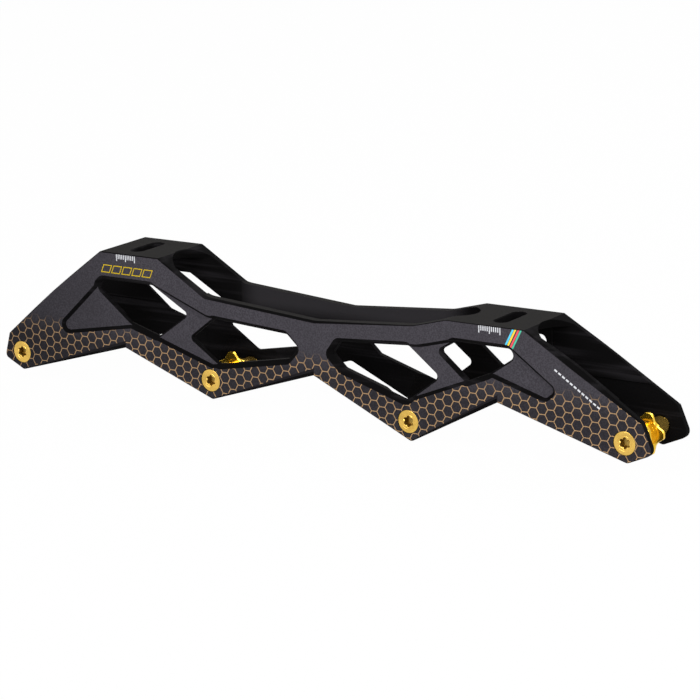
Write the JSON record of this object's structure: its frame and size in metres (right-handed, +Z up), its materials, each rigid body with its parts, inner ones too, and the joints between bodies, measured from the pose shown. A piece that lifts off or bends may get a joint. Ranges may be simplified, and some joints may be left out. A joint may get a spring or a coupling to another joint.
{
  "type": "inline skate frame",
  "caption": "Milled inline skate frame with recessed windowed side walls, slotted mounting plates, removable axle bolts and star-flanged bearing spacers.",
  "frame": {"origin": "middle of the length and width of the whole part, at its lowest point", "axes": "+X to the front of the skate, +Y away from the side with the bolt heads, +Z up"},
  "size_m": [0.3466, 0.0342, 0.0684],
  "materials": {
    "black_anodised": "satin black anodised, milled",
    "gold_bolt": "gold anodised, turned",
    "gold_spacer": "gold anodised, polished"
  },
  "bodies": {
    "frame": {"frame_body": "black_anodised"},
    "axle_1": {"axle_bolt_1": "gold_bolt"},
    "axle_2": {"axle_bolt_2": "gold_bolt"},
    "axle_3": {"axle_bolt_3": "gold_bolt"},
    "axle_4": {"axle_bolt_4": "gold_bolt"},
    "spacer_1": {"bearing_spacer_1": "gold_spacer"},
    "spacer_2": {"bearing_spacer_2": "gold_spacer"},
    "spacer_3": {"bearing_spacer_3": "gold_spacer"},
    "spacer_4": {"bearing_spacer_4": "gold_spacer"}
  },
  "joints": [
    {"name": "axle_1_draw", "type": "slide", "parent": "frame", "child": "axle_1", "axis": [0, -1, 0], "range_m": [0, 0.036]},
    {"name": "axle_2_draw", "type": "slide", "parent": "frame", "child": "axle_2", "axis": [0, -1, 0], "range_m": [0, 0.036]},
    {"name": "axle_3_draw", "type": "slide", "parent": "frame", "child": "axle_3", "axis": [0, -1, 0], "range_m": [0, 0.036]},
    {"name": "axle_4_draw", "type": "slide", "parent": "frame", "child": "axle_4", "axis": [0, -1, 0], "range_m": [0, 0.036]},
    {"name": "spacer_1_spin", "type": "hinge", "parent": "frame", "child": "spacer_1", "pos_m": [-0.16352, 0, 0.0145], "axis": [0, 1, 0], "continuous": true},
    {"name": "spacer_2_spin", "type": "hinge", "parent": "frame", "child": "spacer_2", "pos_m": [-0.05202, 0, 0.0145], "axis": [0, 1, 0], "continuous": true},
    {"name": "spacer_3_spin", "type": "hinge", "parent": "frame", "child": "spacer_3", "pos_m": [0.05448, 0, 0.0095], "axis": [0, 1, 0], "continuous": true},
    {"name": "spacer_4_spin", "type": "hinge", "parent": "frame", "child": "spacer_4", "pos_m": [0.16098, 0, 0.0145], "axis": [0, 1, 0], "continuous": true}
  ]
}
